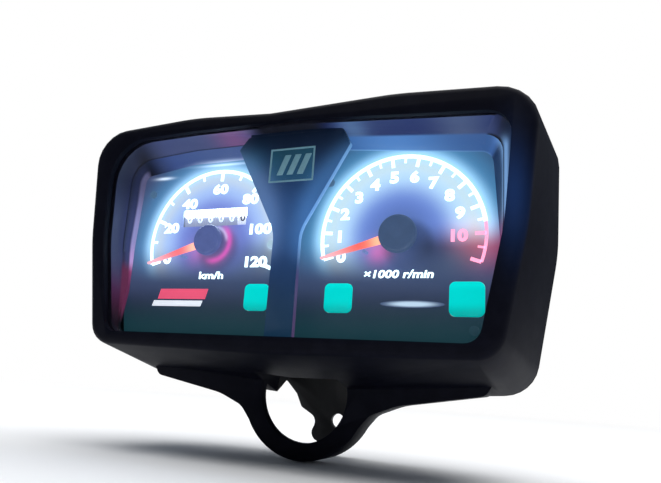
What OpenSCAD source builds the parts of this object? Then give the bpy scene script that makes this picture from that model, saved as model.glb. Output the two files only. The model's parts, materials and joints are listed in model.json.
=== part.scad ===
// Twin-dial motorcycle instrument cluster: speedometer on the left, tachometer on the right,
// in one casing with a collar for the ignition switch below it.
// Origin: middle of the two bracket bolts, on the back face of the steel bracket.
// +X is the rider's right, +Y points away from the rider, +Z is up.

/* [Casing] */
// Half width of the front rim at its top corners
rim_half_w = 98; // [94:0.5:100]
// Half width of the casing at the parting line, top corners
body_half_w = 101; // [99:0.5:104]
// Height of the front rim above the dial centres
rim_top = 50; // [48:0.5:53]
// Drop of the front rim below the dial centres
rim_drop = 48; // [47:0.5:50]
// Drop of the casing at the parting line, at its outer corners
body_drop = 57; // [55:0.5:60]
// Extra drop of the casing in the middle of the parting line
body_sag = 7; // [4:0.5:9]
// Casing wall thickness
wall = 2.5; // [2:0.1:3]
// Width of the front rim around the window opening
rim_w = 8.5; // [7:0.5:9]

/* [Dials] */
// Distance between the two dial centres
dial_gap = 86; // [84:0.5:88]
// Radius of the printed scales, and so the length of the needles
scale_r = 33; // [30:0.5:34]
// Depth of the dial faces behind the front of the rim
dial_depth = 22; // [21:0.5:24]
// Height of the dial centres above the bracket bolts
dial_rise = 50; // [48:0.5:52]
// Speedometer zero mark, anticlockwise from 3 o'clock
speedo_zero = 197; // [190:1:205]
// Tachometer zero mark, anticlockwise from 3 o'clock
tach_zero = 195.5; // [190:0.5:205]
// Side distance of an indicator lamp from its dial centre
lamp_side = 24.5; // [23:0.5:26]
// Drop of the indicator lamps below the dial centres
lamp_drop = 24.5; // [22:0.5:26]

/* [Ignition collar] */
// Radius of the hole for the ignition switch
collar_bore_r = 19.5; // [18:0.5:20]
// Outer radius of the collar
collar_r = 28; // [26:0.5:29]
// Drop of the switch axis below the dial centres
collar_drop = 62.5; // [62:0.5:63]

/* [Fixings] */
// Distance between the two bracket bolts
bolt_gap = 48; // [40:1:54]
// Radius of the bracket bolt holes
bolt_hole_r = 4.25; // [3.25:0.25:5.25]
// Thickness of the steel bracket
bracket_t = 2.5; // [2:0.1:3]
// Radius of the threaded cable spigots
spigot_r = 6; // [5:0.5:7]
// Length of the threaded cable spigots
spigot_len = 13; // [10:1:16]

/* [Odometer] */
// Number of drums
drums = 6; // [6:1:6]
// Drum radius
drum_r = 9; // [8:0.25:9.25]
// Distance from one drum to the next
drum_pitch = 5.6; // [5.2:0.1:5.8]

/* [Hidden] */

$fn = 64;
eps = 0.01;
running = 0.05;             // radial clearance of a running fit
gap = 0.1;                  // clearance between stacked pieces

// Depths are counted from the dial faces, positive towards the back.
dial_t = 1;                 // dial plate
rim_front = -dial_depth;
lip_back = rim_front + wall;
lens_t = 2.5;
lens_back = lip_back + gap + lens_t;
panel_front = -13.5;
panel_t = 2.5;
needle_front = -3.4;
needle_t = 1.2;
cap_t = 2.2;
box_back = 30;              // back of the light box floor
box_floor_t = 2;
parting = 28;               // middle of the case gasket
gasket_t = 1;
case_back = 48.5;           // back wall of the rear case
bulge_back = 58;            // end of the round housings behind the movements
bulge_r = 26;
bracket_back = 54.5;        // the mounting plane
bracket_eye_r = 10;         // round eyes about the rubber mounts
collar_front = 14;
collar_back = 27;
collar_plate_t = 4;
collar_rise = 1.5 - collar_drop;   // height of the collar's own centre
left = -dial_gap / 2;
right = dial_gap / 2;

speedo_sweep = 219;
tach_sweep = 214.5;

// Inner edge of the window opening, and where the window walls meet the dials
window_top = rim_top - 6.3;
window_drop = rim_drop - 5.7;
plate_left = -85.5;
plate_right = 81;
plate_top = 38.2;
plate_drop = 42;
ledge = 0.8;                // step in the window walls
ledge_depth = -9;
seam_x = -3;                // the two dial plates meet here, behind the centre panel

case_screw_points = [[-93, 22], [93, 22], [-78, -47.5], [78, -47.5], [-52, 46], [52, 46]];
backlight_points = [[-74, 30], [-17, 29], [17, 29], [74, 30]];
indicator_points = [[left + lamp_side, -lamp_drop], [right - lamp_side, -lamp_drop],
                    [right + lamp_side + 1.6, -lamp_drop]];
indicator_sizes = [11.2, 11.6, 12.8];
grommet_points = [[-57, -40], [57, -40], [0, 16]];
harness_point = [-76, -18];
harness_r = 3.4;
dial_screw_points = [[left - 36, 24], [left + 29.5, -2], [right - 31, 24], [right + 29, -36]];

// ---------- helpers ----------

// Everything is drawn in the dial frame and moved once into the part's frame.
module in_place() translate([0, -bracket_back, dial_rise]) children();

// A flat outline, x across and y up, made solid between two depths.
module slab(from, to) translate([0, to, 0]) rotate([90, 0, 0]) linear_extrude(to - from) children();

// A round bar along the depth axis.
module rod(r, from, to, x = 0, z = 0)
    translate([x, to, z]) rotate([90, 0, 0]) cylinder(r = r, h = to - from);

// A round tube along the depth axis.
module tube(r, bore, from, to, x = 0, z = 0)
    difference() {
        rod(r, from, to, x, z);
        rod(bore, from - 1, to + 1, x, z);
    }

module box_between(a, b) translate(a) cube(b - a);

function unit(v) = v / norm(v);

// Points of one rounded corner: p is [x, y, radius], a and b its neighbours.
function corner(a, p, b, steps) =
    let (c = [p[0], p[1]],
         u = unit([a[0], a[1]] - c),
         v = unit([b[0], b[1]] - c),
         half = acos(max(-1, min(1, u * v))) / 2,
         mid = c + unit(u + v) * p[2] / sin(half),
         from = c + u * p[2] / tan(half) - mid,
         to = c + v * p[2] / tan(half) - mid,
         start = atan2(from[1], from[0]),
         turn = atan2(to[1], to[0]) - start,
         sweep = turn > 180 ? turn - 360 : turn < -180 ? turn + 360 : turn)
    [for (k = [0:steps]) mid + p[2] * [cos(start + sweep * k / steps), sin(start + sweep * k / steps)]];

// An outline from corners [x, y, radius], each turned into an arc.
function rounded(c, steps = 6) =
    let (n = len(c))
    [for (i = [0:n - 1]) each corner(c[(i + n - 1) % n], c[i], c[(i + 1) % n], steps)];

// A skin through outlines of equal length, clockwise from the front; rings is a list of
// [depth, outline].
module loft(rings) {
    n = len(rings[0][1]);
    m = len(rings);
    points = [for (ring = rings) for (p = ring[1]) [p[0], ring[0], p[1]]];
    sides = [for (j = [0:m - 2]) for (i = [0:n - 1])
             let (k = (i + 1) % n) each
             [[j * n + i, (j + 1) * n + i, (j + 1) * n + k], [j * n + i, (j + 1) * n + k, j * n + k]]];
    front = [[for (i = [0:n - 1]) i]];
    back = [[for (i = [n - 1:-1:0]) (m - 1) * n + i]];
    polyhedron(points, concat(sides, front, back), convexity = 8);
}

// ---------- casing ----------

function mix(a, b, t) = a + (b - a) * t;

// Outline of the casing at t = 0, the front rim, to t = 1, the parting line; inset moves it in.
function casing_outline(t, inset) =
    let (w = mix(rim_half_w, body_half_w, t) - inset,
         m = mix(rim_half_w - 5, body_half_w - 1.5, t) - inset,
         b = mix(rim_half_w - 14, body_half_w - 11, t) - inset,
         top = mix(rim_top, rim_top + 1, t) - inset,
         low = -mix(rim_drop - 0.5, body_drop, t) + inset,
         sag = mix(1.5, body_sag, t),
         r = max(3, 15 - inset))
    rounded([[-w, top - 2, r], [-45, top + 0.8, 150], [-8, top - 1.2, 12], [45, top + 0.8, 150],
             [w, top - 2, r], [m, -2, 90], [b, low, max(3, mix(10, 14, t) - inset)],
             [0, low - sag, 60], [-b, low, max(3, mix(10, 14, t) - inset)], [-m, -2, 90]]);

// Outline of the rear case at t = 0, the parting line, to t = 1, its back wall.
function rear_outline(t, inset) =
    let (w = mix(body_half_w, body_half_w - 11, t) - inset,
         m = mix(body_half_w - 1.5, body_half_w - 13, t) - inset,
         b = mix(body_half_w - 11, body_half_w - 19, t) - inset,
         top = mix(rim_top + 1, rim_top - 6, t) - inset,
         low = -mix(body_drop, body_drop - 10, t) + inset,
         r = max(3, 15 - inset))
    rounded([[-w, top - 2, r], [-45, top + 0.8, 150], [-8, top - 1.2, 12], [45, top + 0.8, 150],
             [w, top - 2, r], [m, -2, 90], [b, low, max(3, 14 - inset)],
             [0, low - mix(body_sag, 3, t), 60], [-b, low, max(3, 14 - inset)], [-m, -2, 90]]);

// The window opening; its top edge falls a little towards the rider's right.
function window_outline(grow) =
    let (w = rim_half_w - rim_w - 1.5 + grow, top = window_top + grow, low = -window_drop - grow)
    rounded([[-w, top - 1.2, 18], [-45, top, 150], [5, top, 150], [w, top - 5.2, 9], [w - 3, -2, 90],
             [w - 11, low, 6], [11 - w, low, 6], [3 - w, -2, 90]]);

// Where the window walls end on the dials, with a corner for each one of the window opening.
function dial_outline(grow) =
    let (l = plate_left - grow, r = plate_right + grow, top = plate_top + grow)
    rounded([[l + 1, top - 5, 4], [l + 27.5, top - 0.8, 40], [15, top, 100], [r - 3, top - 6.3, 5],
             [r - 0.2, -2, 90], [r, -plate_drop, 3], [l, -plate_drop, 3], [l - 0.5, -2, 90]]);

function between(a, b, t) = [for (i = [0:len(a) - 1]) mix(a[i], b[i], t)];

cover_back = parting - gasket_t / 2;
rear_front = parting + gasket_t / 2;

module cover_skin(inset, front, back)
    loft([for (y = [front, back])
          [y, casing_outline((y - rim_front) / (parting - rim_front), inset)]]);

// The rim's front edge is rounded by four narrow steps.
module cover_solid()
    loft([for (s = [[0, 2.6], [0.5, 1.3], [1.3, 0.5], [2.6, 0]])
          [rim_front + s[0], casing_outline(0, s[1])],
          [cover_back, casing_outline((cover_back - rim_front) / (parting - rim_front), 0)]]);

// Collar plate outline: a round eye with flared shoulders that run into the casing's lower edge.
module collar_outline() {
    polygon(rounded([[-78, -52, 2], [78, -52, 2], [74, -58.5, 4], [40, -64.5, 30], [29, -69, 9],
                     [20, -80, 3], [-20, -80, 3], [-29, -69, 9], [-40, -64.5, 30], [-74, -58.5, 4]]));
    translate([0, collar_rise]) circle(collar_r);
}

module case_boss(r, from, to) for (p = case_screw_points) rod(r, from, to, p[0], p[1]);

module top_cover()
    color("#17181c") in_place() difference() {
        union() {
            difference() {
                cover_solid();
                cover_skin(wall, lip_back, cover_back + 1);
            }
            // Arch over the switch, the collar's plate, and a skirt behind the plate's edge
            intersection() {
                cover_solid();
                union() {
                    tube(collar_bore_r + wall, collar_bore_r, 4, cover_back, 0, -collar_drop);
                    case_boss(4, 8, cover_back);
                }
            }
            difference() {
                slab(collar_front, collar_back) collar_outline();
                cover_solid();
                rod(collar_r - wall, collar_front + collar_plate_t, collar_back + 1, 0, collar_rise);
            }
        }
        slab(rim_front - 1, lip_back + 1) polygon(window_outline(0));
        rod(collar_bore_r, 4, cover_back + 1, 0, -collar_drop);
        case_boss(2, 10, cover_back + 1);
    }

module lens()
    color("#dfeaf2", 0.25) in_place()
        slab(lip_back + gap, lens_back) polygon(window_outline(2.5));

// Tapered window walls from the lens down to the dials, with a small ledge halfway.
module mask()
    color("#24222c") in_place() difference() {
        slab(lens_back + gap, -gap) polygon(casing_outline(0, wall + 0.5));
        halfway = 1 - ledge_depth / lens_back;
        loft([[lens_back, window_outline(0.3)],
              [ledge_depth, between(window_outline(0.3), dial_outline(ledge), halfway)],
              [ledge_depth + 0.3, between(window_outline(0.3 - ledge), dial_outline(0), halfway)],
              [0, dial_outline(0)]]);
        slab(panel_front, panel_front + panel_t + 1) panel_tabs(0.15);
    }

// The panel's head and foot reach into slots in the mask.
module panel_tabs(grow) {
    translate([-21 - grow, 36]) square([42 + 2 * grow, 8 + grow]);
    translate([-5 - grow, -44 - grow]) square([10 + 2 * grow, 8]);
}

// Finisher between the dials: wide at the top, waisted, then a straight bar.
module centre_panel()
    color("#1d222b") in_place() {
        slab(panel_front, panel_front + panel_t)
            polygon(rounded([[-21.5, 41.8, 0.5], [21.5, 41.8, 0.5], [25, 35, 0.8], [5.7, 0, 16],
                             [6, -42, 0.5], [-6, -42, 0.5], [-5.7, 0, 16], [-25.6, 36.6, 0.8]], 8));
        slab(panel_front + 0.4, panel_front + panel_t) panel_tabs(-0.1);
    }

// A plain square frame around three slanted bars.
module emblem_badge()
    color("#9fb0ae") in_place() {
        front = panel_front - 0.5;
        translate([0, 0, 28]) {
            slab(front, panel_front) difference() {
                square([20, 14.5], center = true);
                square([18.8, 13.3], center = true);
            }
            for (k = [0:2])
                slab(front, panel_front)
                    polygon([[-6.5 + 4.6 * k, -4.2], [-4 + 4.6 * k, -4.2],
                             [-0.6 + 4.6 * k, 4.2], [-3.1 + 4.6 * k, 4.2]]);
        }
    }

// ---------- dials ----------

pin_r = 15;
function pin_angle(zero) = zero + asin((1.6 + 0.7 + 0.25) / pin_r);

module dial_plate(from, to, hub, zero) difference() {
    slab(0, dial_t) intersection() {
        translate([from, -44]) square([to - from, 84]);
        polygon(casing_outline(-rim_front / (parting - rim_front), wall + 0.3));
    }
    rod(2.4, -1, dial_t + 1, hub, 0);
    rod(0.75, -1, dial_t + 1, hub + pin_r * cos(pin_angle(zero)), pin_r * sin(pin_angle(zero)));
    for (i = [0:2]) slab(-1, dial_t + 1) lamp_outline(i, 0.15);
    for (p = dial_screw_points) rod(1, -1, dial_t + 1, p[0], p[1]);
}

odometer_x = left - 1;
odometer_z = 11.5;
drum_depth = 1.6 + drum_r;   // depth of the drum shaft
odometer_w = drums * drum_pitch;

module speedo_dial()
    color("#3a4a86") in_place() difference() {
        dial_plate(plate_left - 1.5, seam_x - 0.1, left, speedo_zero);
        slab(-1, dial_t + 1) translate([odometer_x, odometer_z]) square([odometer_w, 8], center = true);
    }

module tach_dial() color("#3a5088") in_place() dial_plate(seam_x + 0.1, plate_right + 1.5, right, tach_zero);

module dial_screws()
    color("#c8c8c8") in_place() for (p = dial_screw_points) {
        rod(0.95, 0, 5, p[0], p[1]);
        difference() {
            rod(1.8, -0.9, 0, p[0], p[1]);
            translate([p[0], -0.9, p[1]]) rotate([0, 35, 0]) cube([5, 0.8, 0.5], center = true);
        }
    }

// A post that the needle rests against.
module stop_pin(hub, zero)
    rod(0.7, needle_front, 4, hub + pin_r * cos(pin_angle(zero)), pin_r * sin(pin_angle(zero)));

module stop_pins()
    color("#b8b8b8") in_place() {
        stop_pin(left, speedo_zero);
        stop_pin(right, tach_zero);
    }

module lamp_outline(i, grow) {
    half = indicator_sizes[i] / 2 + grow;
    translate(indicator_points[i])
        polygon(rounded([for (q = [[-1, -1], [1, -1], [1, 1], [-1, 1]])
                         [q[0] * half, q[1] * half, 2.2 + grow]]));
}

module indicator_lens(i) in_place() slab(-0.8, 3) lamp_outline(i, 0);

module high_beam_lens() color("#00c8b4") indicator_lens(0);
module neutral_lens() color("#00c8b4") indicator_lens(1);
module turn_lens() color("#00c8b4") indicator_lens(2);

// ---------- light box ----------

well_wall = 2;
function well_inner(i) = indicator_sizes[i] + 0.5;
box_left = plate_left - 0.2;
box_right = plate_right + 1;

module lamp_well(i, grow, from, to)
    slab(from, to) translate(indicator_points[i]) square(well_inner(i) + 2 * grow, center = true);

module light_box()
    color("#e8e8e4") in_place() difference() {
        union() {
            difference() {
                box_between([box_left, dial_t + gap, -40], [box_right, box_back, 38]);
                box_between([box_left + 1.6, 0, -38], [seam_x - 1, box_back - box_floor_t, 36]);
                box_between([seam_x + 1, 0, -38], [box_right - 2, box_back - box_floor_t, 36]);
            }
            for (i = [0:2]) lamp_well(i, well_wall, dial_t + gap, box_back - eps);
            for (p = dial_screw_points) rod(2.6, dial_t + gap, box_back - eps, p[0], p[1]);
        }
        for (i = [0:2]) lamp_well(i, 0, 0, box_back - box_floor_t);
        for (p = concat(indicator_points, backlight_points)) rod(5.6, 20, box_back + 1, p[0], p[1]);
        for (p = dial_screw_points) rod(1, 0, 8, p[0], p[1]);
        for (x = [left, right]) {
            rod(12, 20, box_back + 1, x, 0);
            for (a = [45:90:315]) rod(1.3, 20, box_back + 1, x + 21 * cos(a), 21 * sin(a));
        }
        box_between([odometer_x - 21, 20, 1], [odometer_x + 21, box_back + 1, 23]);
    }

// ---------- rear case ----------

rear_taper_end = case_back - 3;

module rear_solid()
    loft([[rear_front, rear_outline(0, 0)], [rear_taper_end, rear_outline(1, 0)],
          [case_back - 1, rear_outline(1, 1)], [case_back, rear_outline(1, 3)]]);

module rear_hollow()
    loft([[rear_front - 1, rear_outline(0, wall)], [rear_taper_end - 1, rear_outline(1, wall)],
          [case_back - wall, rear_outline(1, wall + 1.5)]]);

module rear_case()
    color("#1b1c20") in_place() difference() {
        union() {
            difference() {
                rear_solid();
                rear_hollow();
            }
            intersection() {
                rear_solid();
                tube(collar_bore_r + wall, collar_bore_r, rear_front, case_back, 0, -collar_drop);
            }
            for (x = [left, right]) rod(bulge_r, case_back - wall, bulge_back, x, 0);
            intersection() {
                rear_solid();
                case_boss(6, rear_front, case_back);
            }
            case_boss(6, rear_front, 38);
            for (p = grommet_points) rod(7, case_back - 6, case_back + 1.5, p[0], p[1]);
            for (p = concat(indicator_points, backlight_points))
                rod(9.5, case_back - wall, case_back + 1.5, p[0], p[1]);
            rod(8, case_back - wall, case_back + 2, harness_point[0], harness_point[1]);
            // Stiffening ribs across the back
            for (x = [-66, -56, -46, -36, 36, 46, 56, 66])
                box_between([x - 0.8, case_back - 2, 22], [x + 0.8, case_back + 1.2, 40]);
        }
        for (x = [left, right]) {
            rod(bulge_r - wall, case_back - wall - 1, bulge_back - wall, x, 0);
            rod(7.1, bulge_back - wall - 1, bulge_back + 1, x, 0);
        }
        rod(collar_bore_r, rear_front - 1, case_back + 5, 0, -collar_drop);
        for (p = case_screw_points) {
            rod(2.2, rear_front - 1, 40, p[0], p[1]);
            rod(4.3, 35, case_back + 5, p[0], p[1]);
        }
        for (p = grommet_points) rod(3.05, case_back - 7, case_back + 3, p[0], p[1]);
        for (p = concat(indicator_points, backlight_points)) rod(7, 40, case_back + 3, p[0], p[1]);
        rod(5, 40, case_back + 4, harness_point[0], harness_point[1]);
    }

module case_gasket()
    color("#101010") in_place() difference() {
        slab(cover_back + 0.02, rear_front - 0.02) difference() {
            polygon(casing_outline(1, 0.3));
            polygon(casing_outline(1, wall - 0.2));
        }
        rod(collar_bore_r + wall + 0.1, cover_back - 1, rear_front + 1, 0, -collar_drop);
    }

module case_screws()
    color("#9a9a9a") in_place() for (p = case_screw_points) difference() {
        union() {
            rod(1.9, 14, 35, p[0], p[1]);
            rod(4, 35, 37.6, p[0], p[1]);
        }
        for (a = [0, 90])
            translate([p[0], 37.6, p[1]]) rotate([0, a, 0]) cube([5, 2.4, 1], center = true);
    }

// ---------- lamps and wiring outlet ----------

// Wedge bulb: glass envelope with a round end and a flat glass base.
module bulb(p, r, tip)
    translate([p[0], 0, p[1]]) {
        translate([0, tip + r, 0]) sphere(r);
        rod(r, tip + r, 42);
        box_between([-r * 0.8, 42, -1.2], [r * 0.8, 46, 1.2]);
    }

module backlight_bulbs()
    color("#fff4d8", 0.6) in_place() for (p = backlight_points) bulb(p, 4.6, 22);

module indicator_bulbs()
    color("#fff4d8", 0.6) in_place() for (p = indicator_points) bulb(p, 4.6, 22);

module bulb_sockets()
    color("#2b2b2b") in_place() for (p = concat(indicator_points, backlight_points)) difference() {
        union() {
            rod(6.9, 43, case_back + 3, p[0], p[1]);
            rod(8.2, case_back + 1.55, case_back + 4, p[0], p[1]);
            rod(4.5, case_back + 4, case_back + 8, p[0], p[1]);
        }
        rod(5, 42, 46.2, p[0], p[1]);
    }

module harness_grommet()
    color("#202020") in_place() difference() {
        union() {
            rod(4.9, case_back - wall - 1, case_back + 3, harness_point[0], harness_point[1]);
            rod(7.2, case_back + 2.05, case_back + 4.5, harness_point[0], harness_point[1]);
            rod(5.2, case_back + 4.5, case_back + 11, harness_point[0], harness_point[1]);
        }
        rod(harness_r, case_back - 6, case_back + 12, harness_point[0], harness_point[1]);
    }

// ---------- movements ----------

// The odometer's cross shaft: depth, and height above the dial centre
cross_d = 48;
cross_z = 9.1;
wheel_teeth = 16;
wheel_r = 4.9;

// Die-cast frame: base plate on the light box floor, bell around the magnet, neck through the case.
module movement_frame(x) in_place() translate([x, 0, 0]) difference() {
    union() {
        rod(23.5, box_back + gap, box_back + 2.5);
        rod(17.5, box_back + 2.5, 55.2);
        rod(7, 55.2, bulge_back + gap);
    }
    rod(15.5, box_back + 3, 53);
    rod(0.8 + running, 20, 60);
    rod(3 + running, 52, 60);
    for (a = [45:90:315]) rod(1.6, 20, 40, 21 * cos(a), 21 * sin(a));
    // Openings in the bell
    for (a = [0, 180]) rotate([0, a, 0]) box_between([-5, 36, 12], [5, 50, 20]);
    translate([-20, cross_d, cross_z]) rotate([0, 90, 0]) cylinder(r = 1.2 + running, h = 40);
}

module speedo_frame() color("#a8acb0") movement_frame(left);
module tach_frame() color("#a8acb0") movement_frame(right);

// Input shaft with a square drive hole for the cable; the speedometer's has a worm.
module input_shaft(x, worm) in_place() translate([x, 0, 0]) difference() {
    union() {
        rod(3, 41, bulge_back + 12);
        rod(4.6, 41, 44);
        if (worm) for (k = [0:3]) rod(4, 45.8 + 1.3 * k, 46.5 + 1.3 * k);
    }
    box_between([-1.35, bulge_back + 2, -1.35], [1.35, bulge_back + 13, 1.35]);
}

module speedo_input_shaft() color("#c9ccd0") input_shaft(left, true);
module tach_input_shaft() color("#c9ccd0") input_shaft(right, false);

module magnet(x) in_place() tube(11, 3, 36.5, 40.9, x, 0);
module speedo_magnet() color("#55585c") magnet(left);
module tach_magnet() color("#55585c") magnet(right);

// Aluminium drag cup on the needle's staff.
module drag_cup(x) in_place() translate([x, 0, 0]) {
    rod(0.8, needle_front, 35.1);
    rod(2, 35.1, 35.3);
    difference() {
        rod(13, 35.1, 42);
        rod(12.2, 35.9, 43);
    }
}

module speedo_cup() color("#d6d8da") drag_cup(left);
module tach_cup() color("#d6d8da") drag_cup(right);

// Flat spiral spring between the front bearing and the cup.
function spiral(turns, r0, r1, n) =
    [for (k = [0:n]) let (r = mix(r0, r1, k / n), a = 360 * turns * k / n) r * [cos(a), sin(a)]];

module hairspring(x) in_place() translate([x, 0, 0]) {
    inner = spiral(3, 1.6, 7, 60);
    outer = spiral(3, 2, 7.4, 60);
    slab(33.6, 34.4) polygon(concat(inner, [for (k = [60:-1:0]) outer[k]]));
    tube(2.1, 0.82, 33.5, 34.5);
}

module speedo_hairspring() color("#b98d4a") hairspring(left);
module tach_hairspring() color("#b98d4a") hairspring(right);

// Needle: tapered blade from a round hub, with a short tail under the cap.
module needle(x, zero) in_place() translate([x, 0, 0]) difference() {
    slab(needle_front, needle_front + needle_t) rotate(zero)
        polygon(rounded([[-6, -4, 3], [-6, 4, 3], [3, 4, 2], [6, 1.7, 3], [scale_r + 0.3, 0.5, 0.3],
                         [scale_r + 0.3, -0.5, 0.3], [6, -1.7, 3], [3, -4, 2]]));
    rod(0.8, needle_front - 1, needle_front + needle_t + 1);
}

module speedo_needle() color("#ff4a1c") needle(left, speedo_zero);
module tach_needle() color("#ff4a1c") needle(right, tach_zero);

// Domed cap over the needle's hub.
module hub_cap(x, r) in_place() translate([x, needle_front, 0]) rotate([90, 0, 0]) rotate_extrude()
    polygon(concat([[0, 0]], [[r, 0]], [for (a = [0:15:90]) [r - 1.2 + 1.2 * cos(a), 1.2 + 1.2 * sin(a)]],
                   [[0, cap_t]]));

module speedo_cap() color("#15161a") hub_cap(left, 6.8);
module tach_cap() color("#15161a") hub_cap(right, 7.6);

// Threaded spigot for the cable's nut, with a hexagon to hold it.
module cable_union(x) in_place() translate([x, 0, 0]) difference() {
    union() {
        translate([0, bulge_back + gap + 4, 0]) rotate([90, 0, 0]) cylinder(r = 10, h = 4, $fn = 6);
        rod(spigot_r, bulge_back + gap + 4, bulge_back + gap + 4 + spigot_len);
    }
    rod(3 + running, bulge_back - 1, bulge_back + 30);
    rod(4.2, bulge_back + 14, bulge_back + 30);
}

module speedo_union() color("#b4b7ba") cable_union(left);
module tach_union() color("#b4b7ba") cable_union(right);

module movement_screws()
    color("#a0a0a0") in_place() for (x = [left, right]) for (a = [45:90:315])
        translate([x + 21 * cos(a), 0, 21 * sin(a)]) {
            rod(1.25, 28.5, box_back + 2.5);
            rod(2.4, box_back + 2.55, box_back + 4.4);
        }

// ---------- odometer ----------

module odometer_frame()
    color("#b0b4b8") in_place() translate([odometer_x, 0, odometer_z]) difference() {
        union() {
            for (s = [-1, 1])
                box_between([s * (odometer_w / 2 + 1.1) - 0.6, 2, -8.5], [s * (odometer_w / 2 + 1.1) + 0.6, 30, 9]);
            box_between([-odometer_w / 2 - 1.6, 28, 2], [odometer_w / 2 + 1.6, 30, 9]);
        }
        translate([-30, drum_depth, 0]) rotate([0, 90, 0]) cylinder(r = 1.5, h = 60);
        for (s = [-1, 1]) rod(1.3, 20, 31, left - odometer_x + s * 21 * cos(45), 21 * sin(45) - odometer_z);
    }

module odometer_shaft()
    color("#c9ccd0") in_place() translate([odometer_x, drum_depth, odometer_z]) rotate([0, 90, 0])
        translate([0, 0, -odometer_w / 2 - 2.6]) cylinder(r = 1.5, h = odometer_w + 5.2);

// Drum 1 is the right-hand one, which turns fastest.
module drum(k)
    color(k == 1 ? "#e8e8e8" : "#202226") in_place()
        translate([odometer_x + odometer_w / 2 - drum_pitch * k, drum_depth, odometer_z])
            rotate([0, 90, 0]) difference() {
                translate([0, 0, 0.2]) cylinder(r = drum_r, h = drum_pitch - 0.4);
                translate([0, 0, -1]) cylinder(r = 1.5 + running, h = drum_pitch + 2);
                translate([0, 0, -1]) difference() {
                    cylinder(r = drum_r - 1.4, h = 2.4);
                    cylinder(r = 3, h = 2.4);
                }
            }

module odometer_drum_1() drum(1);
module odometer_drum_2() drum(2);
module odometer_drum_3() drum(3);
module odometer_drum_4() drum(4);
module odometer_drum_5() drum(5);
module odometer_drum_6() drum(6);

// Cross shaft with the wheel that the speedometer's worm turns.
module odometer_cross_shaft()
    color("#d9c27a") in_place() translate([left, cross_d, cross_z]) rotate([0, 90, 0]) {
        translate([0, 0, -19]) cylinder(r = 1.2, h = 38);
        translate([0, 0, -1.2]) difference() {
            cylinder(r = wheel_r, h = 2.4);
            for (k = [0:wheel_teeth - 1]) rotate(360 * k / wheel_teeth)
                translate([wheel_r, 0, -1]) cylinder(r = 0.45, h = 5);
        }
    }

// ---------- mounting ----------

// Steel bracket: side arms, an upright between the round housings, and a tongue behind the collar.
module mounting_bracket()
    color("#26282b") in_place() difference() {
        union() {
            slab(bracket_back - bracket_t, bracket_back)
                polygon(rounded([[-7.5, 24, 6], [7.5, 24, 6], [7.5, -34, 6], [30, -34.2, 8], [62, -34.5, 5],
                                 [62, -46, 5], [40, -49, 8], [34, -57, 6], [17, -58, 5], [12, -76, 8],
                                 [2, -84, 5], [-15, -84, 4], [-9, -74, 4], [-18, -69, 2], [-21, -63, 2],
                                 [-27, -57, 3], [-34, -57, 5], [-40, -49, 8], [-62, -46, 5],
                                 [-62, -34.5, 5], [-30, -34.2, 8], [-7.5, -34, 6]]));
            for (p = grommet_points) rod(bracket_eye_r, bracket_back - bracket_t, bracket_back, p[0], p[1]);
        }
        for (p = grommet_points) rod(7, 50, 60, p[0], p[1]);
        rod(3.2, 50, 60, 1, -74);
        for (s = [-1, 1]) rod(bolt_hole_r, 50, 60, s * bolt_gap / 2, -dial_rise);
    }

module grommets()
    color("#141414") in_place() for (p = grommet_points) difference() {
        union() {
            rod(6.95, case_back + 1.6, bracket_back + 2.6, p[0], p[1]);
            rod(10, case_back + 1.6, bracket_back - bracket_t - 0.05, p[0], p[1]);
            rod(10, bracket_back + 0.05, bracket_back + 2.6, p[0], p[1]);
        }
        rod(4.3, 45, 65, p[0], p[1]);
    }

module grommet_sleeves()
    color("#b9bcbf") in_place()
        for (p = grommet_points) tube(4.25, 3.1, case_back + 1.6, bracket_back + 2.6, p[0], p[1]);

module mount_studs()
    color("#b0b3b6") in_place() for (p = grommet_points) {
        rod(3, case_back - 6, 65, p[0], p[1]);
        translate([p[0], case_back - 6.1, p[1]]) rotate([90, 0, 0]) cylinder(r = 5, h = 3, $fn = 6);
        rod(3, case_back - 7, case_back - 5.9, p[0], p[1]);
    }

module mount_washers()
    color("#c4c6c8") in_place()
        for (p = grommet_points) tube(8, 3.2, bracket_back + 2.65, bracket_back + 4.1, p[0], p[1]);

module mount_nuts()
    color("#aeb1b4") in_place() for (p = grommet_points) difference() {
        translate([p[0], bracket_back + 9.2, p[1]]) rotate([90, 0, 0]) cylinder(r = 5.8, h = 5, $fn = 6);
        rod(3.05, 50, 70, p[0], p[1]);
    }

top_cover();
lens();
mask();
centre_panel();
emblem_badge();
speedo_dial();
tach_dial();
dial_screws();
stop_pins();
high_beam_lens();
neutral_lens();
turn_lens();
light_box();
rear_case();
case_gasket();
case_screws();
backlight_bulbs();
indicator_bulbs();
bulb_sockets();
harness_grommet();
speedo_frame();
speedo_input_shaft();
speedo_magnet();
speedo_cup();
speedo_hairspring();
speedo_needle();
speedo_cap();
speedo_union();
tach_frame();
tach_input_shaft();
tach_magnet();
tach_cup();
tach_hairspring();
tach_needle();
tach_cap();
tach_union();
movement_screws();
odometer_frame();
odometer_shaft();
odometer_cross_shaft();
odometer_drum_1();
odometer_drum_2();
odometer_drum_3();
odometer_drum_4();
odometer_drum_5();
odometer_drum_6();
mounting_bracket();
grommets();
grommet_sleeves();
mount_studs();
mount_washers();
mount_nuts();
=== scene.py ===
"""A twin-dial motorcycle instrument cluster with its backlight on. Metres, in the CAD part's frame."""

import json
import math

import bmesh
import bpy
from mathutils import Matrix, Vector


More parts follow.
